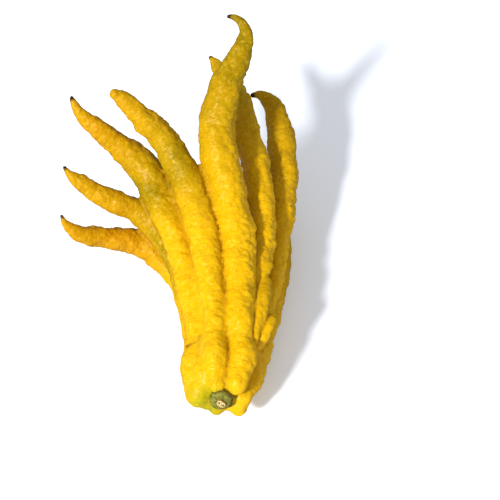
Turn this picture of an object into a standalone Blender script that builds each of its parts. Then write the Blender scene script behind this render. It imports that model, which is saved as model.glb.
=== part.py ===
"""Buddha's hand citron, lying on its side as picked: one rind body that splits into fingers,
with a green calyx button in the hollow at its stem end and the cut stub of its stalk.

Lengths are in millimetres in the tables and turned to metres as each mesh is made.
While modelling, +Y runs from the stem end towards the fingertips, +X is to the right seen from the
stem end, +Z is up, and the surface the fruit lies on is z = 0. At the end everything is moved so
that the origin is the middle of the footprint, on that surface.
"""

import math
import random

import bmesh
import bpy
import numpy as np
from mathutils import Vector, noise

MM = 0.001

# Driving dimensions, in millimetres
STEM_HEIGHT = 24.5          # height of the palm's own axis above the surface
SHOULDER_RADIUS = 9.3       # where the lobes' round ends stand about the stem
SHOULDER_Y = 5.0
PALM_RADIUS = 14.6          # the lobes' centre lines, once they run along the palm
PALM_Y = 18.0
RING_STEP = 1.5             # spacing of the rings that carry a lobe's outline
RING_SIDES = 20
KNOB_PITCH = 8.0            # the larger knobs and cross wrinkles of the rind
KNOB_WIDTH = 0.6            # round a lobe, in shares of that
KNOB_HEIGHT = 1.1
KNOB_DETAIL = (0.8, 2.0, 2)  # the noise's roughness, its step between octaves and their number
RELIEF_SEED = 20
FULL_RELIEF_RADIUS = 5.0    # thinner lobes have less relief
FUSE_VOXEL = 1.3            # the lobes grow together at this fineness
CREASE_SMOOTHING = 2        # rounds
FRUIT_TRIANGLES = 11300
SURFACE_SLAB = (400.0, 40.0)  # side and thickness of what stands for the surface it lies on
CUTTER_FRONT_Y = -12.0      # well in front of the stem end
CALYX_RADIUS = 6.0
CALYX_SEPALS = 5
CALYX_LOBING = 0.035        # how far the sepals' outline waves, in shares of the radius
STEM_END = (0.6, 0.0, 26.2)  # where the stem's axis meets y = 0
STEM_TILT = 18.0            # degrees that the axis points upwards, seen from the fruit
CALYX_BACK_Y = 1.6          # this and the other Y values below run along the tilted axis
CALYX_FRONT_Y = -2.4
STALK_RADIUS = 2.3
STALK_FRONT_Y = -4.0
STALK_SOCKET_Y = -0.8       # how deep the stalk is sunk in the button
STALK_OVALNESS = 0.1        # its long way runs from the upper left to the lower right
STALK_CUT_SLOPE = 0.22      # the cut leans back by this much per millimetre to the right
GAP = 0.3                   # left between touching pieces

RIND_YELLOW = (0.80, 0.50, 0.02, 1.0)
CALYX_GREEN = (0.20, 0.26, 0.05, 1.0)
STALK_WOOD = (0.72, 0.62, 0.42, 1.0)


# ---------------------------------------------------------------- lobes and fingers

def root(around, fullness=1.0, spread=1.0):
    """Where a lobe starts: its round shoulder by the stem, then the palm. `around` is in degrees
    from the top of the fruit, positive to the right seen from the stem end."""
    side, up = math.sin(math.radians(around)), math.cos(math.radians(around))
    near, far = SHOULDER_RADIUS * spread, PALM_RADIUS * spread
    return [
        (near * side, SHOULDER_Y, STEM_HEIGHT + near * up, 4.8 * fullness),
        (far * side, PALM_Y, STEM_HEIGHT + far * up, 6.6 * fullness),
    ]


# Each lobe: the points (x, y, z, radius) that its middle line passes through, from the stem end to
# the tip of its finger.
LOBES = {
    "top_finger": [
        (8, 6.5, 32.5, 5.9), (10.8, 18.5, 36, 7.3), (9.6, 28, 38.6, 6.3), (9.8, 38, 42.6, 6.9),
        (10, 50, 44.5, 7.1), (9, 66, 48, 8.6), (8.5, 80, 52, 9.4), (3.4, 103, 63, 9.6),
        (-2.2, 125, 77, 9.9), (1, 143, 91, 9), (8, 156, 104, 6.5), (12.3, 164, 112, 3.9),
        (9, 170, 117, 2.5), (2.5, 171, 119, 0.9)],
    "upper_left_finger": root(-9, 0.94) + [
        (-2.8, 33, 41, 6), (-4, 48, 44, 6.9), (-8, 78, 53, 8.2), (-15.8, 104, 62, 8.9),
        (-27.6, 122.4, 76.2, 7.4), (-38.6, 129.6, 86.6, 6.6), (-48.7, 134.5, 95.5, 4.7),
        (-52.4, 135, 98.7, 3.1)],
    "left_finger": [
        (-10.9, 6, 24, 6.4), (-12.6, 18, 27.5, 7), (-11.6, 34, 31.5, 6.6), (-14.5, 54, 35, 7.2),
        (-20.6, 82, 42, 7.5), (-32.4, 109.2, 52.2, 8.6), (-38.4, 119, 59.2, 8.7),
        (-48.2, 127.5, 65.2, 7.3), (-63.3, 133.3, 75.6, 5.5), (-72, 137, 84, 3.4),
        (-76.5, 142, 91, 0.9)],
    "lower_left_finger": root(-102, 0.9, 0.86) + [
        (-13.2, 40, 23, 5.8), (-20, 72, 28, 5.2), (-32, 95, 36.5, 5.8), (-43, 106, 43, 6.7),
        (-57, 107, 51, 6.1), (-71, 110, 60, 4.7), (-76.5, 111.5, 65, 2.8), (-80, 114.5, 69, 0.9)],
    "lowest_left_finger": root(-128, 0.92, 0.9) + [
        (-13, 44, 15.5, 6.2), (-20.5, 76, 15.5, 5.9), (-32.5, 92.5, 22, 6.4), (-40, 96.3, 26, 6.7),
        (-48, 98.5, 29.3, 6.6), (-62.5, 96, 35.5, 5.8), (-72.5, 93, 41, 4.6), (-79, 94, 47, 2.5),
        (-81.5, 97, 52, 0.9)],
    "upper_right_finger": [
        (12.6, 50, 34.6, 5.8), (16.6, 61.4, 39.4, 5), (18.8, 68.3, 42, 4.8),
        (20.2, 77.6, 41.4, 5.8), (21, 87, 42.5, 6.6), (21, 101, 46, 7.5), (17.5, 126, 53, 7.8),
        (11.5, 152, 59, 7.3), (6, 172, 63, 6.6), (-2, 187, 66, 4.2), (-7.5, 195.5, 68, 0.9)],
    "right_finger": [
        (19.5, 33, 27.5, 3), (22, 42, 28, 3.8), (23.5, 54, 27, 4.6), (25.5, 68, 26.5, 5.4),
        (28.3, 90, 28.5, 6.1), (30.8, 112, 33, 7.1), (32, 138, 40, 7.9), (30.8, 157.5, 46, 7.6),
        (27, 172, 52, 5.7), (20.8, 177.2, 56, 3.2), (14.5, 175.2, 58, 0.9)],
    "lower_right_finger": [
        (11, 6.5, 20.5, 5.2), (14.9, 18, 19, 6.6), (18.5, 36, 14.5, 6.6), (22, 52, 11.5, 6.4),
        (26.4, 74, 8, 6.3), (30, 97, 5.4, 6), (31.5, 118, 6, 5), (30.5, 134, 8.5, 3.3),
        (28, 145, 12, 1)],
    "bottom_left_finger": [
        (-2, 5, 15.3, 5.2), (-5.2, 18, 11.4, 6.7), (-6.5, 34, 7.6, 8), (-12, 66, 8, 7.4),
        (-20, 94, 5.4, 6), (-26, 114, 7, 4.4), (-28, 128, 11, 1.1)],
    "bottom_right_finger": [
        (8.5, 5, 16, 5.5), (8.6, 18, 12.3, 6.8), (6, 34, 7.6, 8), (7, 66, 9, 7.6), (8, 98, 10, 6.4),
        (12, 126, 12, 4.6), (14, 145, 16, 1.1)],
    "inner_finger": [
        (0, 40, 28, 8), (-1, 70, 30, 9), (0, 100, 32, 7.4), (3, 125, 33, 6), (6, 146, 36, 3.4),
        (8, 156, 38.5, 1.1)],
    "right_palm_lobe": [
        (14.5, 28, 36, 3.4), (16.4, 35, 38.2, 4.6), (19.3, 44, 40, 4.8), (21.8, 53, 41.2, 4.4),
        (23, 59, 41.6, 3)],
    "small_right_lobe": [
        (18.9, 28, 33, 2.5), (22.4, 33.4, 36.2, 3), (25.5, 39.4, 37, 2.8), (27.4, 44.2, 36.4, 1.8)],
    "small_front_lobe": [
        (-8.6, 6.5, 31.3, 3.1), (-9.3, 12, 34.4, 3.5), (-8.9, 18.5, 36, 2.7), (-8, 26, 37.5, 2)],
    "knob": [
        (20.3, 66, 40.2, 1.8), (22.8, 68.5, 42.2, 2.4), (23.8, 69.3, 42.8, 2)],
    "core": [
        (0, 10, 24.5, 9), (1, 25, 24, 13.5), (1.5, 45, 25.5, 15.5), (1, 68, 29, 15.5),
        (-2.5, 88, 34, 10.5)],
}


def smooth_line(points):
    """A smooth curve through the points (Catmull-Rom), as rows x, y, z, radius about RING_STEP
    apart."""
    points = np.array(points, float)
    ends = np.vstack([2 * points[0] - points[1], points, 2 * points[-1] - points[-2]])
    rows = []
    for before, here, there, after in zip(ends, ends[1:], ends[2:], ends[3:]):
        count = max(2, round(np.linalg.norm(there[:3] - here[:3]) / RING_STEP))
        t = np.linspace(0, 1, count, endpoint=False)[:, None]
        rows.append(0.5 * (2 * here + (there - before) * t
                           + (2 * before - 5 * here + 4 * there - after) * t ** 2
                           + (3 * here - before - 3 * there + after) * t ** 3))
    return np.vstack(rows + [points[-1:]])


def relief(along, around, radius, place):
    """How far the rind stands out, in millimetres, at a distance along the lobe and an angle round
    it: smooth noise in cells of about one knob, wider round the lobe than along it. `place` starts
    each lobe in another part of the noise."""
    across = KNOB_WIDTH * radius / KNOB_PITCH
    spot = Vector((along / KNOB_PITCH, across * math.cos(around), across * math.sin(around)))
    return KNOB_HEIGHT * noise.fractal(2 * (spot + place), *KNOB_DETAIL)


def lobe_mesh(name, points, place):
    """A closed tube round a lobe's middle line, with round ends and the rind's relief."""
    line = smooth_line(points)
    centre, radius = line[:, :3], np.maximum(line[:, 3], 0.6)
    ahead = np.gradient(centre, axis=0)
    ahead /= np.linalg.norm(ahead, axis=1)[:, None]
    along = np.concatenate([[0], np.cumsum(np.linalg.norm(np.diff(centre, axis=0), axis=1))])
    around = np.linspace(0, 2 * math.pi, RING_SIDES, endpoint=False)

    # The rounded start and tip: rings that close to a point over one radius
    steps = np.array([0.98, 0.85, 0.55])
    caps = np.sqrt(1 - steps ** 2)
    start = centre[0] - ahead[0] * radius[0] * steps[:, None]
    tip = centre[-1] + ahead[-1] * radius[-1] * steps[::-1, None]
    centre = np.vstack([start, centre, tip])
    ahead = np.vstack([np.tile(ahead[0], (3, 1)), ahead, np.tile(ahead[-1], (3, 1))])
    radius = np.concatenate([caps * radius[0], radius, caps[::-1] * radius[-1]])
    along = np.concatenate([np.repeat(along[0], 3), along, np.repeat(along[-1], 3)])

    # A side direction that doesn't twist as the line bends
    side = np.zeros_like(centre)
    side[0] = np.cross(ahead[0], (0.3, 0, 1))
    for i in range(1, len(centre)):
        side[i] = side[i - 1] - ahead[i] * np.dot(side[i - 1], ahead[i])
    side /= np.linalg.norm(side, axis=1)[:, None]
    up = np.cross(side, ahead)

    knobs = [[relief(a, turn, r, place) for turn in around] for a, r in zip(along, radius)]
    reach = radius[:, None] + np.clip(radius / FULL_RELIEF_RADIUS, 0, 1)[:, None] * np.array(knobs)
    rings = (centre[:, None]
             + reach[..., None] * (np.cos(around)[None, :, None] * side[:, None]
                                   + np.sin(around)[None, :, None] * up[:, None]))

    shape = bmesh.new()
    loops = [[shape.verts.new(Vector(p) * MM) for p in ring] for ring in rings]
    for near, far in zip(loops, loops[1:]):
        for i in range(RING_SIDES):
            j = (i + 1) % RING_SIDES
            shape.faces.new((near[i], near[j], far[j], far[i]))
    shape.faces.new(loops[0][::-1])
    shape.faces.new(loops[-1])
    bmesh.ops.recalc_face_normals(shape, faces=shape.faces)
    mesh = bpy.data.meshes.new(name)
    shape.to_mesh(mesh)
    shape.free()
    return mesh


# ---------------------------------------------------------------- helpers

def clear_scene():
    for obj in list(bpy.data.objects):
        bpy.data.objects.remove(obj)


def add_object(name, mesh, collection=None):
    obj = bpy.data.objects.new(name, mesh)
    (collection or bpy.context.scene.collection).objects.link(obj)
    return obj


def material(name, colour, roughness):
    made = bpy.data.materials.new(name)
    made.use_nodes = True
    shader = made.node_tree.nodes["Principled BSDF"]
    shader.inputs["Base Color"].default_value = colour
    shader.inputs["Roughness"].default_value = roughness
    shader.inputs["Metallic"].default_value = 0.0
    return made


def apply_modifiers(obj):
    """Replaces the object's mesh by what its modifiers make of it."""
    graph = bpy.context.evaluated_depsgraph_get()
    baked = bpy.data.meshes.new_from_object(obj.evaluated_get(graph))
    obj.modifiers.clear()
    obj.data = baked


def cutter(name, mesh):
    obj = add_object(name, mesh)
    obj.hide_render = True
    obj.display_type = "WIRE"
    return obj


def subtract(obj, tool):
    cut = obj.modifiers.new("cut_" + tool.name, "BOOLEAN")
    cut.operation = "DIFFERENCE"
    cut.solver = "EXACT"
    cut.object = tool


def turned_mesh(name, profile, sides, outline=None):
    """A closed solid turned about the Y axis. The profile's rows are (y, radius); its first and
    last rows become flat ends. `outline(angle)` scales the radius round the axis."""
    shape = bmesh.new()
    angles = [2 * math.pi * i / sides for i in range(sides)]
    loops = []
    for y, radius in profile:
        ring = []
        for angle in angles:
            reach = radius * (outline(angle) if outline else 1.0)
            place = Vector((reach * math.cos(angle), y, reach * math.sin(angle)))
            ring.append(shape.verts.new(place * MM))
        loops.append(ring)
    for near, far in zip(loops, loops[1:]):
        for i in range(sides):
            j = (i + 1) % sides
            shape.faces.new((near[i], near[j], far[j], far[i]))
    shape.faces.new(loops[0][::-1])
    shape.faces.new(loops[-1])
    bmesh.ops.recalc_face_normals(shape, faces=shape.faces)
    mesh = bpy.data.meshes.new(name)
    shape.to_mesh(mesh)
    shape.free()
    return mesh


def on_stem_axis(obj):
    """Turns an object modelled about the Y axis to the stem's tilted axis."""
    obj.location = Vector(STEM_END) * MM
    obj.rotation_euler.x = -math.radians(STEM_TILT)
    return obj


# ---------------------------------------------------------------- the pieces

def build_fruit():
    """All the lobes fused into one body, its creases rounded, cut flat where it rests on the
    surface and hollowed for the calyx."""
    draw = random.Random(RELIEF_SEED)
    pieces = bpy.data.collections.new("lobes")
    bpy.context.scene.collection.children.link(pieces)
    meshes = {}
    for name, points in LOBES.items():
        place = Vector([draw.uniform(0, 90) for _ in range(3)])
        meshes[name] = lobe_mesh(name, points, place)
    fruit = add_object("fruit", meshes.pop("core"))
    for name, mesh in meshes.items():
        add_object(name, mesh, pieces)

    union = fruit.modifiers.new("grow_together", "BOOLEAN")
    union.operation = "UNION"
    union.solver = "MANIFOLD"
    union.operand_type = "COLLECTION"
    union.collection = pieces
    apply_modifiers(fruit)
    for obj in list(pieces.objects):
        bpy.data.objects.remove(obj)
    bpy.data.collections.remove(pieces)

    skin = fruit.modifiers.new("one_skin", "REMESH")
    skin.mode = "VOXEL"
    skin.voxel_size = FUSE_VOXEL * MM
    soften = fruit.modifiers.new("soften_creases", "SMOOTH")
    soften.factor = 0.5
    soften.iterations = CREASE_SMOOTHING
    apply_modifiers(fruit)
    fruit.data.calc_loop_triangles()
    thin = fruit.modifiers.new("thin_out", "DECIMATE")
    thin.ratio = FRUIT_TRIANGLES / len(fruit.data.loop_triangles)
    apply_modifiers(fruit)

    shape = bmesh.new()
    bmesh.ops.create_cube(shape, size=1.0)
    side, thick = SURFACE_SLAB
    for vert in shape.verts:
        vert.co = Vector((vert.co.x * side, (vert.co.y + 0.25) * side, (vert.co.z - 0.5) * thick)) * MM
    slab = bpy.data.meshes.new("surface_slab")
    shape.to_mesh(slab)
    shape.free()
    subtract(fruit, cutter("surface_slab", slab))
    hollow = CALYX_RADIUS + GAP
    subtract(fruit, on_stem_axis(cutter("calyx_hollow", turned_mesh(
        "calyx_hollow", [(CUTTER_FRONT_Y, hollow), (CALYX_BACK_Y + GAP, hollow)], 40))))
    fruit.data.materials.clear()
    fruit.data.materials.append(material("rind", RIND_YELLOW, 0.42))
    return fruit


def build_calyx():
    """The green button: a low dome with five faint lobes and a socket for the stalk."""
    def outline(angle):
        return 1 - CALYX_LOBING * (1 - math.cos(CALYX_SEPALS * angle + 0.4))

    rise = CALYX_BACK_Y - CALYX_FRONT_Y
    dome = [(CALYX_BACK_Y - rise * math.sin(a), CALYX_RADIUS * math.cos(a) ** 0.7)
            for a in np.radians([0, 12, 25, 38, 50, 62, 74])]
    calyx = on_stem_axis(add_object("calyx", turned_mesh("calyx", dome, 40, outline)))
    socket = STALK_RADIUS + GAP
    subtract(calyx, on_stem_axis(cutter("stalk_socket", turned_mesh(
        "stalk_socket", [(CUTTER_FRONT_Y, socket), (STALK_SOCKET_Y + GAP, socket)], 24))))
    calyx.data.materials.append(material("calyx", CALYX_GREEN, 0.6))
    return calyx


def build_stalk():
    """The stub left where the fruit was cut: slightly flared, its cut face not quite level."""
    profile = [(STALK_SOCKET_Y, 1.0), (CALYX_FRONT_Y + 0.3, 0.92), (STALK_FRONT_Y + 0.5, 0.95),
               (STALK_FRONT_Y, 0.86)]
    def outline(angle):
        return 1 - STALK_OVALNESS * (1 - math.cos(2 * angle + math.pi / 2))

    stalk = on_stem_axis(add_object("stalk", turned_mesh(
        "stalk", [(y, STALK_RADIUS * part) for y, part in profile], 20, outline)))
    for vert in stalk.data.vertices:
        if vert.co.y < (STALK_FRONT_Y + 0.4) * MM:
            vert.co.y += STALK_CUT_SLOPE * vert.co.x
    stalk.data.materials.append(material("stalk", STALK_WOOD, 0.8))
    return stalk


def footprint_middle(objects):
    """The middle in x and y of the box round all the objects, at its lowest z."""
    bpy.context.view_layer.update()
    graph = bpy.context.evaluated_depsgraph_get()
    spots = []
    for obj in objects:
        shown = obj.evaluated_get(graph)
        spots += [shown.matrix_world @ vert.co for vert in shown.to_mesh().vertices]
        shown.to_mesh_clear()
    low, high = np.min(spots, axis=0), np.max(spots, axis=0)
    return Vector(((low[0] + high[0]) / 2, (low[1] + high[1]) / 2, low[2]))


def main():
    clear_scene()
    pieces = [build_fruit(), build_calyx(), build_stalk()]
    middle = footprint_middle(pieces)
    print("the footprint's middle, before the move:", [round(v / MM, 2) for v in middle], "mm")
    place = bpy.data.objects.new("place", None)
    bpy.context.scene.collection.objects.link(place)
    for obj in bpy.data.objects:
        if obj.type == "MESH":
            obj.parent = place
            obj.data.shade_smooth()
    place.location = -middle


main()
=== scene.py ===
# A Buddha's hand citron lying on its side, as picked: the rind with its fingers, the green button
# at the stem end and the stub of its stalk. Lengths in the dictionaries are in millimetres.
import itertools
import math

import bpy
import numpy as np
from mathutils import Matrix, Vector


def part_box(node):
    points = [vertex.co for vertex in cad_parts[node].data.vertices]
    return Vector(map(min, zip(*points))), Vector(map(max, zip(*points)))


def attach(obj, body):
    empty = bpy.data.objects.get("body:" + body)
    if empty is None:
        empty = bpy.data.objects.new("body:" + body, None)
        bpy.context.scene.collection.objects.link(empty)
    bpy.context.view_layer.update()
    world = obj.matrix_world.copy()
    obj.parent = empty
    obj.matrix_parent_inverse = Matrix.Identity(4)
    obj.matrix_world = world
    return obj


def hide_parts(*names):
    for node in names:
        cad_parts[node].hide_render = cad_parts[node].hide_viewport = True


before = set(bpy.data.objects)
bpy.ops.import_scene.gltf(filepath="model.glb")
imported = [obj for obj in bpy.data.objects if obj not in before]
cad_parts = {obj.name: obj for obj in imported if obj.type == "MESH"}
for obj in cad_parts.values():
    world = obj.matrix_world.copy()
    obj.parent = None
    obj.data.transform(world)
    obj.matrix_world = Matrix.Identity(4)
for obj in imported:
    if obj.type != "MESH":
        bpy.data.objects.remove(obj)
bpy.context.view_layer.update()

mm = 0.001

# The fruit's tables are measured from the stem: y = 0 at its shoulder, z = 0 on the surface it
# lies on. The stalk's box says where that is in the frame.
stem = {"end": (0.6, 0.0, 26.2),   # where the stem's axis meets y = 0
        "tilt": 18.0,              # degrees that the axis points upwards
        "stalkMiddle": -2.4}       # the stalk's middle, along the axis
stemCos, stemSin = math.cos(math.radians(stem["tilt"])), math.sin(math.radians(stem["tilt"]))
stalkBox = np.mean(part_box("stalk"), axis=0) / mm
stemToFrame = np.array([stalkBox[0] - stem["end"][0],
                        stalkBox[1] - stem["end"][1] - stem["stalkMiddle"] * stemCos, 0])


def hexColour(code):
    # sRGB hex to the linear values that shaders take
    parts = [int(code[i:i + 2], 16) / 255 for i in (1, 3, 5)]
    linear = [c / 12.92 if c <= 0.04045 else ((c + 0.055) / 1.055) ** 2.4 for c in parts]
    return (*linear, 1.0)


def addNode(tree, kind, settings=None, inputs=None):
    # one node: its settings by name, and for each input a value, a hex colour or the socket that
    # feeds it
    node = tree.nodes.new(kind)
    for name, value in (settings or {}).items():
        setattr(node, name, value)
    for name, value in (inputs or {}).items():
        if isinstance(value, bpy.types.NodeSocket):
            tree.links.new(value, node.inputs[name])
        else:
            node.inputs[name].default_value = hexColour(value) if isinstance(value, str) else value
    return node


def smoothStep(low, high, value):
    # 0 below low, 1 above high, an S curve between
    t = np.clip((value - low) / (high - low), 0, 1)
    return t * t * (3 - 2 * t)


# a shuffled order, a random slope and a random seed place for each corner of the noise lattice
noiseDraw = np.random.default_rng(41)
noiseOrder = noiseDraw.permutation(256)
noiseSlopes = noiseDraw.normal(size=(256, 3))
noiseSlopes /= np.linalg.norm(noiseSlopes, axis=1)[:, None]
noiseSeats = noiseDraw.uniform(0.08, 0.92, (256, 3))


def cornerHash(cell):
    # the table row of each lattice corner, by looking its three numbers up one after another
    x, y, z = cell[:, 0] % 256, cell[:, 1], cell[:, 2]
    return noiseOrder[(noiseOrder[(noiseOrder[x] + y) % 256] + z) % 256]


def softNoise(points):
    # gradient noise, about -1 to 1: each lattice corner has a random slope, faded between corners
    base = np.floor(points).astype(int)
    part = points - base
    fade = part ** 3 * (part * (part * 6 - 15) + 10)
    total = np.zeros(len(points))
    for corner in itertools.product((0, 1), repeat=3):
        slope = noiseSlopes[cornerHash(base + corner)]
        weight = np.prod(np.where(np.array(corner) == 1, fade, 1 - fade), axis=1)
        total += weight * np.einsum("ij,ij->i", slope, part - corner)
    return 1.7 * total


def pebbles(points):
    # rounded cells, 0 in the creases between them and up to 1 on their tops: one minus the squared
    # distance to the nearest seed over that to the second nearest, with one seed a unit cell
    base = np.floor(points).astype(int)
    near = np.full(len(points), 9.0)
    second = np.full(len(points), 9.0)
    for step in itertools.product((-1, 0, 1), repeat=3):
        cell = base + step
        away = ((cell + noiseSeats[cornerHash(cell)] - points) ** 2).sum(axis=1)
        second = np.minimum(second, np.maximum(near, away))
        near = np.minimum(near, away)
    return 1 - near / second


def meshObject(name, points, faces, material):
    # points in millimetres, measured from the stem
    mesh = bpy.data.meshes.new(name)
    mesh.from_pydata((points + stemToFrame) * mm, [], faces)
    mesh.update()
    obj = bpy.data.objects.new(name, mesh)
    bpy.context.scene.collection.objects.link(obj)
    if material:
        mesh.materials.append(material)
    return obj


def tubeFaces(rings, sides):
    # quads between neighbouring rings of points, and a flat face at each end
    r, c = np.meshgrid(np.arange(rings - 1), np.arange(sides), indexing="ij")
    here, beside = r * sides + c, r * sides + (c + 1) % sides
    quads = np.stack([here, beside, beside + sides, here + sides], -1).reshape(-1, 4)
    return ([tuple(quad) for quad in quads.tolist()]
            + [tuple(range(sides - 1, -1, -1)), tuple(range((rings - 1) * sides, rings * sides))])


def applyModifiers(obj):
    # the mesh as its modifiers leave it
    graph = bpy.context.evaluated_depsgraph_get()
    made = bpy.data.meshes.new_from_object(obj.evaluated_get(graph))
    obj.modifiers.clear()
    obj.data = made
    obj.data.name = obj.name


# The camera looks down on the stem end: degrees, millimetres, and its target from the stem
view = {"elevation": 50, "distance": 900, "lens": 129.6, "sensor": 36,
        "target": (14.5, 74.5, 50)}


def buildCamera():
    # placed back from its target along its line of sight
    tilt = math.radians(view["elevation"])
    back = Vector((0, -math.cos(tilt), math.sin(tilt)))
    target = Vector((np.array(view["target"]) + stemToFrame) * mm)
    data = bpy.data.cameras.new("camera")
    data.lens = view["lens"]
    data.sensor_width = view["sensor"]
    data.clip_start, data.clip_end = 0.01, 20
    camera = bpy.data.objects.new("camera", data)
    bpy.context.scene.collection.objects.link(camera)
    camera.location = target + back * view["distance"] * mm
    camera.rotation_euler = (-back).to_track_quat("-Z", "Y").to_euler()
    bpy.context.scene.camera = camera


# The palm that some lobes start from, as two rings round the stem
palm = {"stemHeight": 24.5, "shoulderRadius": 9.3, "shoulderY": 5.0, "radius": 14.6, "y": 18.0,
        "rootRadii": (4.8, 6.6)}


def lobeRoot(around, fullness=1.0, spread=1.0):
    # a lobe's first two points; around is in degrees from the top, positive to the right
    side, up = math.sin(math.radians(around)), math.cos(math.radians(around))
    near, far = palm["shoulderRadius"] * spread, palm["radius"] * spread
    thin, thick = palm["rootRadii"]
    return [(near * side, palm["shoulderY"], palm["stemHeight"] + near * up, thin * fullness),
            (far * side, palm["y"], palm["stemHeight"] + far * up, thick * fullness)]


# Each lobe's points (x, y, z, radius), from the stem end to the tip of its finger
lobes = {
    "topFinger": [
        (8, 6.5, 32.5, 5.9), (10.8, 18.5, 36, 7.3), (9.6, 28, 38.6, 6.3), (9.8, 38, 42.6, 6.9),
        (10, 50, 44.5, 7.1), (9, 66, 48, 8.6), (8.5, 80, 52, 9.4), (3.4, 103, 63, 9.6),
        (-2.2, 125, 77, 9.9), (1, 143, 91, 9), (8, 156, 104, 6.5), (12.3, 164, 112, 3.9),
        (9, 170, 117, 2.5), (2.5, 171, 119, 0.9)],
    "upperLeftFinger": lobeRoot(-9, 0.94) + [
        (-2.8, 33, 41, 6), (-4, 48, 44, 6.9), (-8, 78, 53, 8.2), (-15.8, 104, 62, 8.9),
        (-27.6, 122.4, 76.2, 7.4), (-38.6, 129.6, 86.6, 6.6), (-48.7, 134.5, 95.5, 4.7),
        (-52.4, 135, 98.7, 3.1)],
    "leftFinger": [
        (-10.9, 6, 24, 6.4), (-12.6, 18, 27.5, 7), (-11.6, 34, 31.5, 6.6), (-14.5, 54, 35, 7.2),
        (-20.6, 82, 42, 7.5), (-32.4, 109.2, 52.2, 8.6), (-38.4, 119, 59.2, 8.7),
        (-48.2, 127.5, 65.2, 7.3), (-63.3, 133.3, 75.6, 5.5), (-72, 137, 84, 3.4),
        (-76.5, 142, 91, 0.9)],
    "lowerLeftFinger": lobeRoot(-102, 0.9, 0.86) + [
        (-13.2, 40, 23, 5.8), (-20, 72, 28, 5.2), (-32, 95, 36.5, 5.8), (-43, 106, 43, 6.7),
        (-57, 107, 51, 6.1), (-71, 110, 60, 4.7), (-76.5, 111.5, 65, 2.8), (-80, 114.5, 69, 0.9)],
    "lowestLeftFinger": lobeRoot(-128, 0.92, 0.9) + [
        (-13, 44, 15.5, 6.2), (-20.5, 76, 15.5, 5.9), (-32.5, 92.5, 22, 6.4), (-40, 96.3, 26, 6.7),
        (-48, 98.5, 29.3, 6.6), (-62.5, 96, 35.5, 5.8), (-72.5, 93, 41, 4.6), (-79, 94, 47, 2.5),
        (-81.5, 97, 52, 0.9)],
    "upperRightFinger": [
        (12.6, 50, 34.6, 5.8), (16.6, 61.4, 39.4, 5), (18.8, 68.3, 42, 4.8),
        (20.2, 77.6, 41.4, 5.8), (21, 87, 42.5, 6.6), (21, 101, 46, 7.5), (17.5, 126, 53, 7.8),
        (11.5, 152, 59, 7.3), (6, 172, 63, 6.6), (-2, 187, 66, 4.2), (-7.5, 195.5, 68, 0.9)],
    "rightFinger": [
        (19.5, 33, 27.5, 3), (22, 42, 28, 3.8), (23.5, 54, 27, 4.6), (25.5, 68, 26.5, 5.4),
        (28.3, 90, 28.5, 6.1), (30.8, 112, 33, 7.1), (32, 138, 40, 7.9), (30.8, 157.5, 46, 7.6),
        (27, 172, 52, 5.7), (20.8, 177.2, 56, 3.2), (14.5, 175.2, 58, 0.9)],
    "lowerRightFinger": [
        (11, 6.5, 20.5, 5.2), (14.9, 18, 19, 6.6), (18.5, 36, 14.5, 6.6), (22, 52, 11.5, 6.4),
        (26.4, 74, 8, 6.3), (30, 97, 5.4, 6), (31.5, 118, 6, 5), (30.5, 134, 8.5, 3.3),
        (28, 145, 12, 1)],
    "bottomLeftFinger": [
        (-2, 5, 15.3, 5.2), (-5.2, 18, 11.4, 6.7), (-6.5, 34, 7.6, 8), (-12, 66, 8, 7.4),
        (-20, 94, 5.4, 6), (-26, 114, 7, 4.4), (-28, 128, 11, 1.1)],
    "bottomRightFinger": [
        (8.5, 5, 16, 5.5), (8.6, 18, 12.3, 6.8), (6, 34, 7.6, 8), (7, 66, 9, 7.6), (8, 98, 10, 6.4),
        (12, 126, 12, 4.6), (14, 145, 16, 1.1)],
    "innerFinger": [
        (0, 40, 28, 8), (-1, 70, 30, 9), (0, 100, 32, 7.4), (3, 125, 33, 6), (6, 146, 36, 3.4),
        (8, 156, 38.5, 1.1)],
    "rightPalmLobe": [
        (14.5, 28, 36, 3.4), (16.4, 35, 38.2, 4.6), (19.3, 44, 40, 4.8), (21.8, 53, 41.2, 4.4),
        (23, 59, 41.6, 3)],
    "smallRightLobe": [
        (18.9, 28, 33, 2.5), (22.4, 33.4, 36.2, 3), (25.5, 39.4, 37, 2.8), (27.4, 44.2, 36.4, 1.8)],
    "smallFrontLobe": [
        (-8.6, 6.5, 31.3, 3.1), (-9.3, 12, 34.4, 3.5), (-8.9, 18.5, 36, 2.7), (-8, 26, 37.5, 2)],
    "knob": [
        (20.3, 66, 40.2, 1.8), (22.8, 68.5, 42.2, 2.4), (23.8, 69.3, 42.8, 2)],
    "core": [
        (0, 10, 24.5, 9), (1, 25, 24, 13.5), (1.5, 45, 25.5, 15.5), (1, 68, 29, 15.5),
        (-2.5, 88, 34, 10.5)],
}

growth = {"ringStep": 1.0, "sides": 32, "softenSteps": 2,
          "skins": ((1.3, 6), (0.94, 2))}   # each skin's voxel, and its steps of webbing
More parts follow.
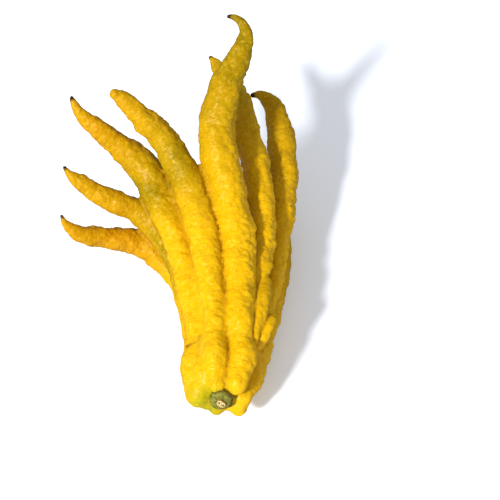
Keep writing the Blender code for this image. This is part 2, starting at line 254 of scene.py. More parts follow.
# How far flesh fills the valleys between lobes, at places along y, and the pairs of lobes whose
# crease stays sharper, by a share of that fill at places along y
web = {"y": (0, 12, 28, 70, 84, 105), "fill": (0.9, 1.2, 1.7, 1.9, 1.2, 0.8), "shrink": 0.3,
       "creaseReach": 3.0, "furthestMove": 1.2, "fingersStart": (72, 88),
       "relaxSteps": 10, "relaxWidth": 4.0, "palmEnd": (52, 74)}
creases = {
    ("upperLeftFinger", "topFinger"): ((14, 24, 34, 46, 58), (0.35, 0.55, 0.75, 0.6, 0.3)),
    ("leftFinger", "lowerLeftFinger"): ((20, 50), (0.9, 0.6)),
    ("lowerLeftFinger", "lowestLeftFinger"): ((20, 50), (0.9, 0.6)),
    ("topFinger", "upperRightFinger"): ((50, 66), (1.0, 0.6)),
    ("upperRightFinger", "rightFinger"): ((40, 60), (0.9, 0.6)),
    ("rightPalmLobe", "smallRightLobe"): ((20, 60), (0.35, 0.35)),
    ("topFinger", "lowerRightFinger"): ((6, 30), (0.4, 0.4)),
    ("topFinger", "rightPalmLobe"): ((20, 60), (0.6, 0.6)),
}


def smoothLine(points):
    # a Catmull-Rom curve through the points, as rows x, y, z, radius
    points = np.array(points, float)
    ends = np.vstack([2 * points[0] - points[1], points, 2 * points[-1] - points[-2]])
    rows = []
    for before, here, there, after in zip(ends, ends[1:], ends[2:], ends[3:]):
        count = max(2, round(np.linalg.norm(there[:3] - here[:3]) / growth["ringStep"]))
        t = np.linspace(0, 1, count, endpoint=False)[:, None]
        rows.append(0.5 * (2 * here + (there - before) * t
                           + (2 * before - 5 * here + 4 * there - after) * t ** 2
                           + (3 * here - before - 3 * there + after) * t ** 3))
    return np.vstack(rows + [points[-1:]])


def lobeFrames(points):
    # the middle line with its radius, distance along, and a direction ahead, beside and above it
    # that turns with the line and doesn't twist
    line = smoothLine(points)
    centre, radius = line[:, :3], np.maximum(line[:, 3], 0.6)
    ahead = np.gradient(centre, axis=0)
    ahead /= np.linalg.norm(ahead, axis=1)[:, None]
    side = np.zeros_like(centre)
    side[0] = np.cross(ahead[0], (0.3, 0, 1))
    for i in range(1, len(centre)):
        side[i] = side[i - 1] - ahead[i] * np.dot(side[i - 1], ahead[i])
    side /= np.linalg.norm(side, axis=1)[:, None]
    along = np.concatenate([[0], np.cumsum(np.linalg.norm(np.diff(centre, axis=0), axis=1))])
    return {"centre": centre, "radius": radius, "along": along, "ahead": ahead, "side": side,
            "above": np.cross(side, ahead)}


def lobeTube(lobe):
    # rings round the middle line, closed by a half ball at each end
    sides = growth["sides"]
    turn = np.linspace(0, math.pi / 2, 5)[1:-1]
    first, last = lobe["radius"][0], lobe["radius"][-1]
    centre = np.vstack([lobe["centre"][0] - lobe["ahead"][0] * first * np.cos(turn)[:, None],
                        lobe["centre"],
                        lobe["centre"][-1] + lobe["ahead"][-1] * last * np.sin(turn)[:, None]])
    radius = np.concatenate([first * np.sin(turn), lobe["radius"], last * np.cos(turn)])
    side, above = (np.vstack([np.tile(lobe[k][0], (3, 1)), lobe[k], np.tile(lobe[k][-1], (3, 1))])
                   for k in ("side", "above"))
    around = np.linspace(0, 2 * math.pi, sides, endpoint=False)
    rings = (centre[:, None] + radius[:, None, None]
             * (np.cos(around)[None, :, None] * side[:, None]
                + np.sin(around)[None, :, None] * above[:, None]))
    return rings.reshape(-1, 3), tubeFaces(len(centre), sides)


def oneSkin(piece, voxel):
    # a voxel remesh, which keeps only the outer surface of what overlaps, slightly smoothed
    skin = piece.modifiers.new("oneSkin", "REMESH")
    skin.mode = "VOXEL"
    skin.voxel_size = voxel * mm
    soften = piece.modifiers.new("soften", "SMOOTH")
    soften.factor = 0.5
    soften.iterations = growth["softenSteps"]
    applyModifiers(piece)


def readPoints(mesh):
    # in millimetres, measured from the stem
    points = np.empty(len(mesh.vertices) * 3)
    mesh.vertices.foreach_get("co", points)
    return points.reshape(-1, 3) / mm - stemToFrame


def readNormals(mesh):
    # one unit normal for each point
    normals = np.empty(len(mesh.vertices) * 3)
    mesh.vertex_normals.foreach_get("vector", normals)
    return normals.reshape(-1, 3)


def movePoints(mesh, points):
    # millimetres from the stem, back to metres in the frame
    mesh.vertices.foreach_set("co", ((points + stemToFrame) * mm).astype(np.float32).ravel())
    mesh.update()


def growTogether(frames):
    # every tube in one mesh, its valleys webbed on a coarse skin and again on the fine one
    points, faces, start = [], [], 0
    for lobe in frames.values():
        p, f = lobeTube(lobe)
        points.append(p)
        faces += [tuple(i + start for i in face) for face in f]
        start += len(p)
    rind = meshObject("rind", np.vstack(points), faces, None)
    for voxel, steps in growth["skins"]:
        oneSkin(rind, voxel)
        points = readPoints(rind.data)
        webLobes(points, frames, steps)
        relaxValleys(rind.data, points, frames)
        movePoints(rind.data, points)
    return rind


def relaxValleys(mesh, points, frames):
    # evens out the narrow slits that are left between grown-together lobes: each point moves
    # towards the middle of its neighbours, most in the soft valleys of the palm
    ends = np.empty(len(mesh.edges) * 2, int)
    mesh.edges.foreach_get("vertices", ends)
    first, second = ends.reshape(-1, 2).T
    places = [lobePlaces(points, lobe) for lobe in frames.values()]
    facing, gap = lobesMeeting(places)[2:]
    soft = (smoothStep(0.2, 0.7, facing) * np.exp(-gap / web["relaxWidth"]) * onPalm(points)
            * smoothStep(0.55, 0.95, creaseShare(points, dict(zip(frames, places)))))
    count = np.bincount(ends, minlength=len(points))
    for step in range(web["relaxSteps"]):
        middle = np.stack([np.bincount(first, points[second, axis], len(points))
                           + np.bincount(second, points[first, axis], len(points))
                           for axis in range(3)], 1) / count[:, None]
        points += (0.9 * soft)[:, None] * (middle - points)


def onPalm(points):
    # 1 on the palm, easing to 0 where the fingers part
    start, end = web["palmEnd"]
    return smoothStep(end, start, points[:, 1])


def lobePlaces(points, lobe):
    # for every point: how far outside the lobe it is, how far along it, and its place across it;
    # found at the middle line's sample that is nearest after taking off the radius
    centre = lobe["centre"]
    index = np.concatenate([
        np.argmin(np.sqrt(np.maximum(
            (block ** 2).sum(1)[:, None] + (centre ** 2).sum(1) - 2 * block @ centre.T,
            0)) - lobe["radius"], axis=1)
        for block in np.array_split(points, 12)])   # in blocks, to spare memory
    offset = points - centre[index]
    ahead = lobe["ahead"][index]
    shift = np.clip((offset * ahead).sum(1), -growth["ringStep"], growth["ringStep"])
    offset -= ahead * shift[:, None]
    along = lobe["along"][index] + shift
    radius = np.interp(along, lobe["along"], lobe["radius"])
    away = np.linalg.norm(offset, axis=1)
    return {"outside": away - radius, "along": along, "outward": offset / (away[:, None] + 1e-6),
            "across": (offset * lobe["side"][index]).sum(1),
            "up": (offset * lobe["above"][index]).sum(1)}


def lobesMeeting(places):
    # for every point: the lobes from nearest to furthest, every lobe's distance, how far the two
    # nearest face each other (0 to 1), and how much further the second is
    outside = np.array([p["outside"] for p in places])
    outward = np.array([p["outward"] for p in places])
    order = np.argsort(outside, axis=0)
    rows = np.arange(outside.shape[1])
    facing = 0.5 - 0.5 * (outward[order[0], rows] * outward[order[1], rows]).sum(1)
    return order, outside, facing, outside[order[1], rows] - outside[order[0], rows]


def creaseShare(points, places):
    # 1, and less near the creases that stay sharp: by how near a point is to both lobes
    share = np.ones(len(points))
    for (first, second), (y, left) in creases.items():
        far = sum(np.maximum(places[name]["outside"], 0) ** 2 for name in (first, second))
        near = np.exp(-far / web["creaseReach"] ** 2)
        share *= 1 - near * (1 - np.interp(points[:, 1], y, left))
    return share


def webLobes(points, frames, steps):
    # fills the valleys between lobes as grown-together flesh does: the points move onto the zero
    # level of -k log(sum of exp(-outside / k)), where k is larger on the palm than on the fingers
    k = np.interp(points[:, 1], web["y"], web["fill"])
    for step in range(steps):
        places = [lobePlaces(points, lobe) for lobe in frames.values()]
        if step == 0:
            k *= creaseShare(points, dict(zip(frames, places)))
        share = np.exp(-np.clip([p["outside"] for p in places], -15, 30) / k)
        level = -k * np.log(share.sum(0)) + web["shrink"] * k
        slope = sum(w[:, None] * p["outward"] for w, p in zip(share / share.sum(0), places))
        # deep in a slit the lobes' directions cancel, so the way out is away from the core
        start, end = web["fingersStart"]
        stuck = smoothStep(0.6, 0.2, (slope ** 2).sum(1)) * smoothStep(end, start, points[:, 1])
        slope += stuck[:, None] * places[list(frames).index("core")]["outward"]
        size = np.maximum((slope ** 2).sum(1), 0.2)
        move = np.clip(level / size, -web["furthestMove"], web["furthestMove"])
        points -= slope * move[:, None]


# The rind's relief, in the straightened space of the lobe that each point belongs to
relief = {
    # pitches, then the height; along and across the finger where they differ
    "swellPitch": 13.0, "swell": 1.0,                            # broad swellings
    "lumpPitch": 6.0, "lump": 0.8,                               # soft lumps
    "knobAlong": 4.0, "knobAcross": 5.0, "knob": 0.6,            # rounded knobs, wider than long
    "crinkleAlong": 2.4, "crinkleAcross": 3.2, "crinkle": 0.2,   # small crinkles on the knobs
    "foldAlong": 1.7, "foldAcross": 8.0, "fold": 0.32,           # cross folds of the palm
    "foldsEnd": (30, 60),                                        # they fade out here along y
    "blend": 1.6, "valleyWidth": 1.5, "valleyDepth": 0.5, "lineWidth": 0.7,
    "knobsGrow": (10, 78), "smallTip": 20.0,    # along y, and the length of finger that thins
    "unevenPitch": 11.0, "uneven": 0.8,         # knobs are bolder in some places than in others
    "calmGap": (1.3, 3.2),                      # fine bumps start this far from the next lobe
    "lobeShift": 71.3,                          # moves the pattern on from one lobe to the next
}


def lobeRelief(along, across, up, number):
    # swellings, lumps, knobs, crinkles and cross folds, each a noise or a cell pattern of the place
    # in the straightened lobe, the last four of them bent by a finer noise
    place = np.stack([along + relief["lobeShift"] * number, across, up], 1)
    bend = np.stack([softNoise(place / 5.0 + shift) for shift in (3.1, 17.7, 41.9)], 1)
    bent = place + 1.6 * bend
    swell = softNoise(place / relief["swellPitch"])
    lump = softNoise(bent / relief["lumpPitch"] + 3.3)
    knobs = pebbles(bent / (relief["knobAlong"], relief["knobAcross"], relief["knobAcross"]))
    crinkle = pebbles(bent / (relief["crinkleAlong"], relief["crinkleAcross"],
                              relief["crinkleAcross"]) + 7.7)
    fold = softNoise(bent / (relief["foldAlong"], relief["foldAcross"], relief["foldAcross"]))
    return swell, lump, knobs, crinkle, fold


def shapeRind(rind, frames):
    # moves each point along its normal by the relief of the lobe it is on, less in the creases and
    # at the tips; the hollow for the button and the flat spots below are pressed in last
    points, normals = readPoints(rind.data), readNormals(rind.data)
    places = [lobePlaces(points, lobe) for lobe in frames.values()]
    lengths = np.array([lobe["along"][-1] for lobe in frames.values()])
    rows = np.arange(len(points))
    order, outside, facing, gap = lobesMeeting(places)
    # a crease is deep where the two nearest lobes face each other, and only a dip elsewhere;
    # on the palm only the creases that stay sharp are marked
    kept = 1 - creaseShare(points, dict(zip(frames, places)))
    valley = (smoothStep(0.6, 0.97, facing) * np.exp(-gap / relief["valleyWidth"])
              * (1 - onPalm(points) * (1 - smoothStep(0.1, 0.45, kept))))
    line = np.exp(-(gap / relief["lineWidth"]) ** 2) * smoothStep(0.12, 0.4, kept)
    valley = np.maximum(valley, line)

    # the two nearest lobes' relief, mixed where they meet
    mixed = np.exp(-gap / relief["blend"])
    total = {"swell": 0, "lump": 0, "knobs": 0, "crinkle": 0, "fold": 0, "fraction": 0}
    nearest, second = order[:2]
    for number, weight in ((nearest, 1 / (1 + mixed)), (second, mixed / (1 + mixed))):
        along, across, up = (np.array([p[k] for p in places])[number, rows]
                             for k in ("along", "across", "up"))
        shapes = lobeRelief(along, across, up, number)
        for key, value in zip(total, (*shapes, along / lengths[number])):
            total[key] = total[key] + weight * value
        if number is nearest:
            grain = np.stack([along + relief["lobeShift"] * number, across, up], 1)
            toTip = lengths[number] - along

    grown = smoothStep(*relief["knobsGrow"], points[:, 1])
    thin = 0.3 + 0.7 * smoothStep(0, relief["smallTip"], toTip)
    uneven = 1 + relief["uneven"] * softNoise(points / relief["unevenPitch"] + 2.2)
    foldsStart, foldsEnd = relief["foldsEnd"]
    height = (relief["swell"] * total["swell"]
              + relief["lump"] * (0.85 + 0.15 * grown) * total["lump"]
              + relief["knob"] * (0.6 + 0.4 * grown) * uneven * (total["knobs"] - 0.6)
              + relief["crinkle"] * (0.9 + 0.1 * grown) * uneven * (total["crinkle"] - 0.6)
              + relief["fold"] * smoothStep(foldsEnd, foldsStart, points[:, 1]) * total["fold"])
    height = height * thin * (1 - 0.7 * valley) - relief["valleyDepth"] * valley
    points += normals * height[:, None]

    pressStemEnd(points)
    points[:, 2] = np.maximum(points[:, 2], 0)
    movePoints(rind.data, points)
    return {"points": points, "number": nearest, "fraction": total["fraction"], "toTip": toTip,
            "valley": valley, "knobs": total["knobs"], "crinkle": total["crinkle"],
            "calm": smoothStep(*relief["calmGap"], gap), "grain": grain}


def pressStemEnd(points):
    # the round hollow that the button sits in: no rind ahead of a depth that eases out past its rim
    x, depth, z = alongStem(points)
    out = np.hypot(x, z)
    edge = button["radius"] - button["overlap"]
    floor = (button["backY"] - button["sunk"]
             - button["lipDepth"] * smoothStep(edge, edge + button["lip"], out))
    near = (out < edge + button["lip"]) & (depth < floor)
    points[near] = fromStem(x, np.maximum(depth, floor), z)[near]


# The button and the stub of the stalk, made along the stem's tilted axis
button = {"radius": 6.0, "backY": 1.6, "frontY": -2.4, "sepals": 5, "sides": 180, "rings": 110,
          # the hollow it sits in: the rind reaches under its rim and rises at a lip round it
          "overlap": 0.2, "sunk": 0.6, "lip": 0.7, "lipDepth": 3.8}
stub = {"radius": 2.5, "backY": -0.8, "frontY": -4.0, "ovalness": 0.19, "slope": 0.22,
        "sides": 96, "rings": 90,
        # each pit of the cut face: x, z, half width, half height, depth
        "pits": ((-0.8, 0.6, 0.4, 0.7, 0.9), (0.95, -1.0, 0.5, 0.55, 0.8),
                 (0.2, -0.1, 0.2, 0.4, 0.35))}


def turnedGrid(name, radius, depth, around, material):
    # rings about the stem's axis; radius, depth: arrays of rings x sides; closed by a flat face at
    # each end
    x, z = radius * np.sin(around), radius * np.cos(around)
    points = fromStem(x.ravel(), depth.ravel(), z.ravel())
    return meshObject(name, points, tubeFaces(*radius.shape), material)


def alongStem(points):
    # x and z across the stem's axis and depth along it
    x, y, z = (points - stem["end"]).T
    return x, y * stemCos - z * stemSin, y * stemSin + z * stemCos


def fromStem(x, depth, z):
    # the way back from those
    y, up = depth * stemCos + z * stemSin, z * stemCos - depth * stemSin
    return np.stack([x, y, up], 1) + stem["end"]


def profileRows(profile, count):
    # points evenly spaced along a polyline of (radius, depth)
    profile = np.array(profile, float)
    run = np.concatenate([[0], np.cumsum(np.hypot(*np.diff(profile, axis=0).T))])
    spots = np.linspace(0, run[-1], count)
    return np.interp(spots, run, profile[:, 0]), np.interp(spots, run, profile[:, 1])


def buildButton(material):
    # a dome of grown-together sepals: the radius swells at each sepal, ribs run out from the stalk,
    # and the rim is a thin uneven corky edge
    front, back, size = button["frontY"], button["backY"], button["radius"]
    radius, depth = profileRows([
        (0.2, back - 0.2), (size * 0.7, back - 0.1), (size * 0.95, back - 0.5), (size, back - 1.2),
        (size * 0.97, back - 1.8), (size * 0.88, front + 1.35), (size * 0.72, front + 0.6),
        (size * 0.52, front + 0.2), (size * 0.4, front + 0.15), (size * 0.36, front + 0.5),
        (0.2, front + 0.6)], button["rings"])
    around = np.linspace(0, 2 * math.pi, button["sides"], endpoint=False)
    radius, depth, around = np.broadcast_arrays(radius[:, None], depth[:, None], around[None, :])
    out = radius / size
    place = np.stack([3.2 * np.sin(around), 3.2 * np.cos(around), 0.35 * radius], -1).reshape(-1, 3)
    fibre, rough, broad = (softNoise(place * scale + shift).reshape(out.shape)
                           for scale, shift in ((2.3, 0.0), (1.1, 9.2), (0.5, 4.1)))
    rim = smoothStep(0.7, 0.97, out)
    lobed = 0.04 * np.cos(button["sepals"] * around + 0.6) + 0.05 * rough + 0.05 * broad
    radius = radius * (1 + lobed * out ** 2)
    depth = depth + (0.16 + 0.2 * rim) * fibre * smoothStep(0.35, 0.6, out) + 0.45 * rough * rim
    piece = turnedGrid("calyx_button", radius, depth, around, material)
    # cork at the rim; its widening to the right, away from the light, is painted shade
    edge = smoothStep(0.74, 0.96, out + 0.16 * rough + 0.1 * np.sin(around - 0.3))
    setAttribute(piece, "rim", edge.ravel())
    setAttribute(piece, "rib", smoothStep(-0.4, 0.6, fibre + 0.4 * rough).ravel())
    setAttribute(piece, "grain", place)
    return piece


def buildStub(material):
    # a short oval stub; its cut face slopes and is nicked by pits, which are painted dark
    front, back, size = stub["frontY"], stub["backY"], stub["radius"]
    radius, depth = profileRows([
        (0.1, back), (size * 0.9, back), (size, back - 0.5), (size * 0.92, (front + back) / 2),
        (size * 0.97, front + 0.35), (size * 0.9, front + 0.06), (0.1, front)], stub["rings"])
    around = np.linspace(0, 2 * math.pi, stub["sides"], endpoint=False)
    radius, depth, around = np.broadcast_arrays(radius[:, None], depth[:, None], around[None, :])
    radius = radius * (1 - stub["ovalness"] * (1 - np.cos(2 * (around - 0.75 * math.pi))))
    x, z = radius * np.sin(around), radius * np.cos(around)
    faceOn = smoothStep(front + 0.45, front + 0.15, depth)
    bowls = [np.exp(-(((x - px) / wide) ** 2 + ((z - pz) / tall) ** 2))
             for px, pz, wide, tall, _ in stub["pits"]]
    place = np.stack([x, depth, z], -1).reshape(-1, 3)
    rough, torn = (softNoise(place * scale).reshape(x.shape) for scale in (1.5, 3.4))
    dents = sum(sunk * bowl for (*_, sunk), bowl in zip(stub["pits"], bowls))
    depth = depth + faceOn * (dents + 0.25 * rough + 0.12 * torn + stub["slope"] * x)
    radius = radius * (1 + 0.08 * rough)
    piece = turnedGrid("stalk_stub", radius, depth, around, material)
    setAttribute(piece, "pit", (faceOn * np.clip(1.6 * sum(bowls) - 0.35, 0, 1)).ravel())
    setAttribute(piece, "cut", faceOn.ravel())
    return piece


def setAttribute(piece, name, values):
    # a float or a vector for every point
    vector = values.ndim == 2
    made = piece.data.attributes.new(name, "FLOAT_VECTOR" if vector else "FLOAT", "POINT")
    made.data.foreach_set("vector" if vector else "value", values.astype(np.float32).ravel())


# Where the rind is greener or more orange: the places are fractions of the lobe
tints = {
    # lobe: (green place, green spread, green strength, orange from, orange strength)
    # top finger's olive end: part green rind, part painted shade facing away from the light
    "topFinger": (1.0, 0.25, 0.95, 0.99, 0.1),
    "upperLeftFinger": (0.72, 0.1, 0.6, 0.88, 0.5),
    "leftFinger": (0.64, 0.09, 0.65, 0.76, 0.55),
    "lowerLeftFinger": (0.52, 0.16, 0.7, 0.7, 0.5),
    "lowestLeftFinger": (0.5, 0.01, 0.0, 0.6, 0.7),
    "upperRightFinger": (0.85, 0.25, 0.3, 0.97, 0.15),
    "rightFinger": (0.9, 0.2, 0.15, 0.7, 0.1),
}
# brown marks where the rind was scuffed: middle, half sizes along x, y, z, and strength
scuffs = [
    ((-14, 26.5, 34), (3.2, 0.6, 4), 1.0), ((-16.5, 27.3, 32), (2, 0.6, 4), 1.0),
    ((-13.7, 62.5, 38), (0.5, 0.5, 3), 0.9), ((-11.7, 54, 38), (0.45, 0.9, 3), 0.9),
    ((-7.4, 50, 43), (0.4, 0.5, 3), 0.8), ((1.5, 59, 45), (0.4, 0.5, 4), 0.7),
    ((-15.3, 76, 43), (0.5, 1.5, 4), 0.7),
]
# the greener shoulder left of the button, and the green edge of the small front lobe
stemTint = {"reach": (6, 17), "middle": (-6, -2), "edge": (-10.5, 11, 31), "edgeReach": 5.0}
dryTip = {"length": (1.4, 3.4), "without": "upperLeftFinger"}   # that finger's end stays fleshy


def paintRind(rind, found):
    # stores where each finish shows as attributes of the points, 0 to 1
    points, fraction, number = found["points"], found["fraction"], found["number"]
    patch = 0.5 + 0.5 * softNoise(points / 9.0)
    broad = 0.5 + 0.5 * softNoise(points / 26.0 + 5.5)
    green = np.zeros(len(points))
    orange = np.zeros(len(points))
    for index, name in enumerate(lobes):
        if name in tints:
            place, spread, strength, start, warmth = tints[name]
            mine = number == index
            green[mine] = strength * np.exp(-((fraction[mine] - place) / spread) ** 2)
            orange[mine] = warmth * smoothStep(start - 0.12, start + 0.15, fraction[mine])
    x, depth, z = alongStem(points)
    (inner, outer), (middleX, middleZ) = stemTint["reach"], stemTint["middle"]
    stemGreen = (smoothStep(outer, inner, np.hypot(x - middleX, z - middleZ))
                 * smoothStep(4, -3, x) * smoothStep(16, 4, depth))
    edgeAway = np.linalg.norm((points - stemTint["edge"]) * (1.6, 0.6, 1), axis=1)
    stemGreen = np.maximum(stemGreen, 0.8 * np.exp(-(edgeAway / stemTint["edgeReach"]) ** 2))
    rim = smoothStep(9.5, 6.3, np.hypot(x, z)) * smoothStep(7, 1, depth)
    setAttribute(rind, "green", np.clip(green * (0.5 + patch), 0, 1))
    fresh = np.maximum(stemGreen, 0.6 * rim) * (0.6 + 0.6 * patch)
    setAttribute(rind, "fresh", np.clip(fresh, 0, 1))
    setAttribute(rind, "orange", np.clip(orange * (0.45 + 1.1 * patch * broad), 0, 1))
    setAttribute(rind, "ochre", smoothStep(0.3, 0.85, fraction + 0.2 * (broad - 0.5)))
    # the creases' mask, which the material also uses to paint shade into them
    setAttribute(rind, "valley", found["valley"])
    pointed = [list(lobes).index(name) for name in tints if name != dryTip["without"]]
    full, end = dryTip["length"]
    darkTip = smoothStep(end, full, found["toTip"]) * np.isin(number, pointed)
    setAttribute(rind, "tip", darkTip)
    # the knobs' tops; the material paints shade into the hollows between them
    crest = 0.6 * found["knobs"] + 0.4 * found["crinkle"]
    setAttribute(rind, "crest", smoothStep(0.3, 0.9, crest))
    setAttribute(rind, "calm", found["calm"])
    setAttribute(rind, "grain", found["grain"])
    ragged = points + 0.5 * np.stack([softNoise(points / 1.3 + shift) for shift in (1, 2, 3)], 1)
    scuff = np.zeros(len(points))
    for middle, half, strength in scuffs:
        away = (((ragged - middle) / half) ** 2).sum(1)
        scuff = np.maximum(scuff, strength * np.exp(-away))
    setAttribute(rind, "scuff", scuff)


def newMaterial(name):
    # a node material with nothing in it
    material = bpy.data.materials.new(name)
    material.use_nodes = True
    material.node_tree.nodes.clear()
    return material, material.node_tree


# Colours, and the pitches of the bump and colour patterns: along and across the finger where
# there are two
rindFinish = {
    # hollow: painted shade between knobs; pale: painted highlight; valley: painted shade in creases
    "gold": "#D2A404", "ochre": "#AC8804", "orange": "#B57802", "green": "#655E00",
    "fresh": "#96980A", "hollow": "#B98300", "pale": "#E2BC3C", "valley": "#85500A",
    "scuff": "#6B3208", "tip": "#2E1B08",
    "wrinklePitch": (1.4, 4.0), "wrinkleDepth": 0.34,
    "pebblePitch": (1.9, 2.4), "pebbleDepth": 0.26,
    "porePitch": 0.8, "poreDepth": 0.12,    # the oil glands, which are about this far apart
    "fleckPitch": 1.6, "speckPitch": 3.6,
}


def makeRindMaterial():
    # waxy citrus rind, as grown: a soft broad sheen with small glints on the knobs, light that
    # enters and warms the shadows, and creases finer than the mesh in the bump
    material, tree = newMaterial("waxyCitronRind")
    finish = rindFinish
    marks = {name: addNode(tree, "ShaderNodeAttribute", {"attribute_name": name}).outputs["Fac"]
             for name in ("ochre", "orange", "green", "fresh", "crest", "valley", "scuff", "tip",
                          "calm")}
    grain = addNode(tree, "ShaderNodeAttribute", {"attribute_name": "grain"}).outputs["Vector"]
    objectPlace = addNode(tree, "ShaderNodeTexCoord").outputs["Object"]

    # painted shade between knobs and in creases, painted highlight flecks, and rare small specks
    # painted shade: the colour deepens in the hollows between the knobs
    hollow = addNode(tree, "ShaderNodeMapRange",
                     inputs={"Value": marks["crest"], "To Min": 0.3, "To Max": 0.0})
    # painted highlight: pale flecks from a noise stand in for soft glints on the bumps
    highlightNoise = addNode(tree, "ShaderNodeTexNoise",
                     inputs={"Vector": objectPlace, "Scale": 1 / (finish["fleckPitch"] * mm),
                             "Detail": 3.0})
    paintedHighlightMask = addNode(tree, "ShaderNodeMapRange",
                        inputs={"Value": highlightNoise.outputs["Fac"], "From Min": 0.5,
                                "From Max": 0.75, "To Max": 0.3})
    # painted shade: the creases turn brown where shade falls between the lobes
    crease = addNode(tree, "ShaderNodeMath", {"operation": "MULTIPLY"},
                     {0: marks["valley"], 1: 0.75})
    specks = addNode(tree, "ShaderNodeTexVoronoi", {"feature": "F1"},
                     {"Vector": objectPlace, "Scale": 1 / (finish["speckPitch"] * mm)})
    speckMask = addNode(tree, "ShaderNodeMapRange",
                        inputs={"Value": specks.outputs["Distance"], "From Min": 0.11,
                                "From Max": 0.05, "To Max": 0.6})
    # each layer covers the ones before it by its own factor
    colour = finish["gold"]
    for factor, layer in ((marks["ochre"], "ochre"), (marks["orange"], "orange"),
                          (marks["green"], "green"), (marks["fresh"], "fresh"),
                          (hollow.outputs[0], "hollow"), (paintedHighlightMask.outputs[0], "pale"),
                          (crease.outputs[0], "valley"), (speckMask.outputs[0], "scuff"),
                          (marks["scuff"], "scuff"), (marks["tip"], "tip")):
        colour = addNode(tree, "ShaderNodeMix", {"data_type": "RGBA"},
                         {0: factor, 6: colour, 7: finish[layer]}).outputs[2]

    # wrinkles and pebbles follow the finger's bends, since grain is its straightened space
    stretched, squashed = (
        addNode(tree, "ShaderNodeMapping", {"vector_type": "POINT"},
                {"Vector": grain, "Scale": (1 / along, 1 / across, 1 / across)}).outputs[0]
        for along, across in (finish["wrinklePitch"], finish["pebblePitch"]))
    wrinkles = addNode(tree, "ShaderNodeTexNoise",
                       inputs={"Vector": stretched, "Scale": 1.0, "Detail": 2.0,
                               "Distortion": 0.6})
    pebble = addNode(tree, "ShaderNodeTexVoronoi", {"feature": "SMOOTH_F1"},
                     {"Vector": squashed, "Scale": 1.0, "Smoothness": 0.4})
    pores = addNode(tree, "ShaderNodeTexNoise",
                    inputs={"Vector": objectPlace, "Scale": 1 / (finish["porePitch"] * mm),
                            "Detail": 3.0})
    # none of it where two lobes meet, since the pattern jumps there
    bump = {"Strength": marks["calm"]}
    for source, depth in ((wrinkles.outputs["Fac"], finish["wrinkleDepth"]),
                          (pebble.outputs["Distance"], -finish["pebbleDepth"]),
                          (pores.outputs["Fac"], finish["poreDepth"])):
        node = addNode(tree, "ShaderNodeBump",
                       inputs={**bump, "Height": source, "Distance": depth * mm})
        bump["Normal"] = node.outputs[0]
    shader = addNode(
        tree, "ShaderNodeBsdfPrincipled",
        inputs={"Base Color": colour, "Normal": bump["Normal"], "Roughness": 0.34, "IOR": 1.4,
                "Specular IOR Level": 0.2, "Specular Tint": (1.0, 0.85, 0.5, 1.0),
                "Subsurface Weight": 0.12, "Subsurface Scale": 0.003,
                "Subsurface Radius": (1.0, 0.45, 0.02)})
    addNode(tree, "ShaderNodeOutputMaterial", inputs={"Surface": shader.outputs[0]})
    return material


# fibreScale is for each unit of the button's own grain attribute
buttonFinish = {"dark": "#4A4C06", "green": "#7F7F1E", "pale": "#A39A44", "corkDark": "#33230A",
                "cork": "#75601A", "fibreScale": 3.4}


def makeButtonMaterial():
    # dry calyx: dull green skin with darker ribs and pale fibres, turning to brown cork at its rim
    material, tree = newMaterial("dryCorkyCalyx")
    finish = buttonFinish
    rib, rim = (addNode(tree, "ShaderNodeAttribute", {"attribute_name": name}).outputs["Fac"]
                for name in ("rib", "rim"))
    grain = addNode(tree, "ShaderNodeAttribute", {"attribute_name": "grain"}).outputs["Vector"]
    fibres = addNode(tree, "ShaderNodeTexNoise",
                     inputs={"Vector": grain, "Scale": finish["fibreScale"], "Detail": 5.0})
    spread = addNode(tree, "ShaderNodeMapRange",
                     inputs={"Value": fibres.outputs["Fac"], "From Min": 0.35, "From Max": 0.65})
    paler = addNode(tree, "ShaderNodeMath", {"operation": "MULTIPLY"},
                    {0: spread.outputs[0], 1: 0.35})
    cork = addNode(tree, "ShaderNodeMix", {"data_type": "RGBA"},
                   {0: spread.outputs[0], 6: finish["corkDark"], 7: finish["cork"]})
    colour = finish["dark"]
    for factor, layer in ((rib, finish["green"]), (paler.outputs[0], finish["pale"]),
                          (rim, cork.outputs[2])):
        colour = addNode(tree, "ShaderNodeMix", {"data_type": "RGBA"},
                         {0: factor, 6: colour, 7: layer}).outputs[2]
    bump = addNode(tree, "ShaderNodeBump",
                   inputs={"Height": fibres.outputs["Fac"], "Strength": 1.0,
                           "Distance": 0.5 * mm})
    shader = addNode(tree, "ShaderNodeBsdfPrincipled",
                     inputs={"Base Color": colour, "Normal": bump.outputs[0], "Roughness": 0.6,
                             "IOR": 1.45, "Specular IOR Level": 0.3})
    addNode(tree, "ShaderNodeOutputMaterial", inputs={"Surface": shader.outputs[0]})
    return material


stubFinish = {"bark": "#A5853F", "wood": "#D9C487", "woodDark": "#A9894C", "pit": "#2C1A08",
              "fibrePitch": 0.7}    # coarser than real wood fibres, so that they show


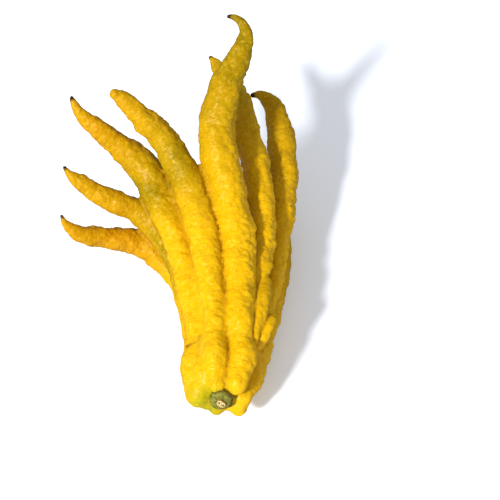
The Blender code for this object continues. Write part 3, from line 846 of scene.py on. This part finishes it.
def makeStubMaterial():
    # fresh cut stalk: pale fibrous wood with dark pits
    material, tree = newMaterial("paleCutStalk")
    finish = stubFinish
    cut, pit = (addNode(tree, "ShaderNodeAttribute", {"attribute_name": name}).outputs["Fac"]
                for name in ("cut", "pit"))
    objectPlace = addNode(tree, "ShaderNodeTexCoord").outputs["Object"]
    fibres = addNode(tree, "ShaderNodeTexNoise",
                     inputs={"Vector": objectPlace, "Scale": 1 / (finish["fibrePitch"] * mm),
                             "Detail": 4.0})
    spread = addNode(tree, "ShaderNodeMapRange",
                     inputs={"Value": fibres.outputs["Fac"], "From Min": 0.4, "From Max": 0.6})
    wood = addNode(tree, "ShaderNodeMix", {"data_type": "RGBA"},
                   {0: spread.outputs[0], 6: finish["woodDark"], 7: finish["wood"]})
    colour = finish["bark"]
    for factor, layer in ((cut, wood.outputs[2]), (pit, finish["pit"])):
        colour = addNode(tree, "ShaderNodeMix", {"data_type": "RGBA"},
                         {0: factor, 6: colour, 7: layer}).outputs[2]
    bump = addNode(tree, "ShaderNodeBump",
                   inputs={"Height": fibres.outputs["Fac"], "Strength": 1.0,
                           "Distance": 0.3 * mm})
    shader = addNode(tree, "ShaderNodeBsdfPrincipled",
                     inputs={"Base Color": colour, "Normal": bump.outputs[0], "Roughness": 0.75,
                             "IOR": 1.45})
    addNode(tree, "ShaderNodeOutputMaterial", inputs={"Surface": shader.outputs[0]})
    return material


# A sheet of paper under two suns, whose spreads are in degrees, and an even sky
studio = {
    "floorSize": 6.0, "floorColour": "#E6ECF8", "floorReflected": "#20222A", "floorGlow": 0.13,
    "keyFrom": (-0.76, -1.06, 1.0), "keyStrength": 4.75, "keySpread": 7.0,
    "fill": 0.6, "fillReflected": 0.04,
    "rimFrom": (0.9, -0.3, 0.6), "rimStrength": 0.08, "rimSpread": 12.0,
}


def buildStudio():
    # the sheet at the height that the fruit lies on, the two suns and the sky
    half = studio["floorSize"] / 2
    mesh = bpy.data.meshes.new("floor")
    mesh.from_pydata([(-half, -half, 0), (half, -half, 0), (half, half, 0), (-half, half, 0)], [],
                     [(0, 1, 2, 3)])
    floor = bpy.data.objects.new("floor", mesh)
    bpy.context.scene.collection.objects.link(floor)
    # matt white paper, lit from behind a little: an even pale floor that takes a soft shadow;
    # dimmer in reflections, as the room is, so that the rind's edges don't turn pale
    material, tree = newMaterial("mattePaper")
    ray = addNode(tree, "ShaderNodeLightPath").outputs["Is Glossy Ray"]
    colour = addNode(tree, "ShaderNodeMix", {"data_type": "RGBA"},
                     {0: ray, 6: studio["floorColour"], 7: studio["floorReflected"]})
    glow = addNode(tree, "ShaderNodeMapRange",
                   inputs={"Value": ray, "To Min": studio["floorGlow"], "To Max": 0.0})
    shader = addNode(tree, "ShaderNodeBsdfPrincipled",
                     inputs={"Base Color": colour.outputs[2], "Roughness": 0.9,
                             "Specular IOR Level": 0.0, "Emission Color": (1, 1, 1, 1),
                             "Emission Strength": glow.outputs[0]})
    addNode(tree, "ShaderNodeOutputMaterial", inputs={"Surface": shader.outputs[0]})
    mesh.materials.append(material)

    for name, start, strength, spread in (
            ("key", studio["keyFrom"], studio["keyStrength"], studio["keySpread"]),
            ("rim", studio["rimFrom"], studio["rimStrength"], studio["rimSpread"])):
        data = bpy.data.lights.new(name, "SUN")
        data.energy = strength
        data.angle = math.radians(spread)
        light = bpy.data.objects.new(name, data)
        bpy.context.scene.collection.objects.link(light)
        light.rotation_euler = Vector(start).to_track_quat("Z", "Y").to_euler()

    world = bpy.data.worlds.new("softbox")
    world.use_nodes = True
    tree = world.node_tree
    # dimmer in reflections, as black flags beside a studio table make it
    ray = addNode(tree, "ShaderNodeLightPath")
    dimmed = addNode(tree, "ShaderNodeMapRange",
                     inputs={"Value": ray.outputs["Is Glossy Ray"], "To Min": studio["fill"],
                             "To Max": studio["fillReflected"]})
    background = tree.nodes["Background"]
    background.inputs["Color"].default_value = (1, 1, 1, 1)
    tree.links.new(dimmed.outputs[0], background.inputs["Strength"])
    bpy.context.scene.world = world
    bpy.context.scene.view_settings.view_transform = "Standard"


buildCamera()
frames = {name: lobeFrames(points) for name, points in lobes.items()}
rind = growTogether(frames)
print("lobes grown together:", len(rind.data.vertices), "points")

paintRind(rind, shapeRind(rind, frames))
rind.data.materials.append(makeRindMaterial())
print("rind shaped and tinted")

calyx = buildButton(makeButtonMaterial())
stalk = buildStub(makeStubMaterial())
print("button and stub made")

for piece, node, slot in ((rind, "fruit", "rind"), (calyx, "calyx", "calyx"),
                          (stalk, "stalk", "stalk")):
    piece.data.polygons.foreach_set("use_smooth", np.ones(len(piece.data.polygons), bool))
    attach(piece, "root")
    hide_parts(node)

buildStudio()
print("studio set")
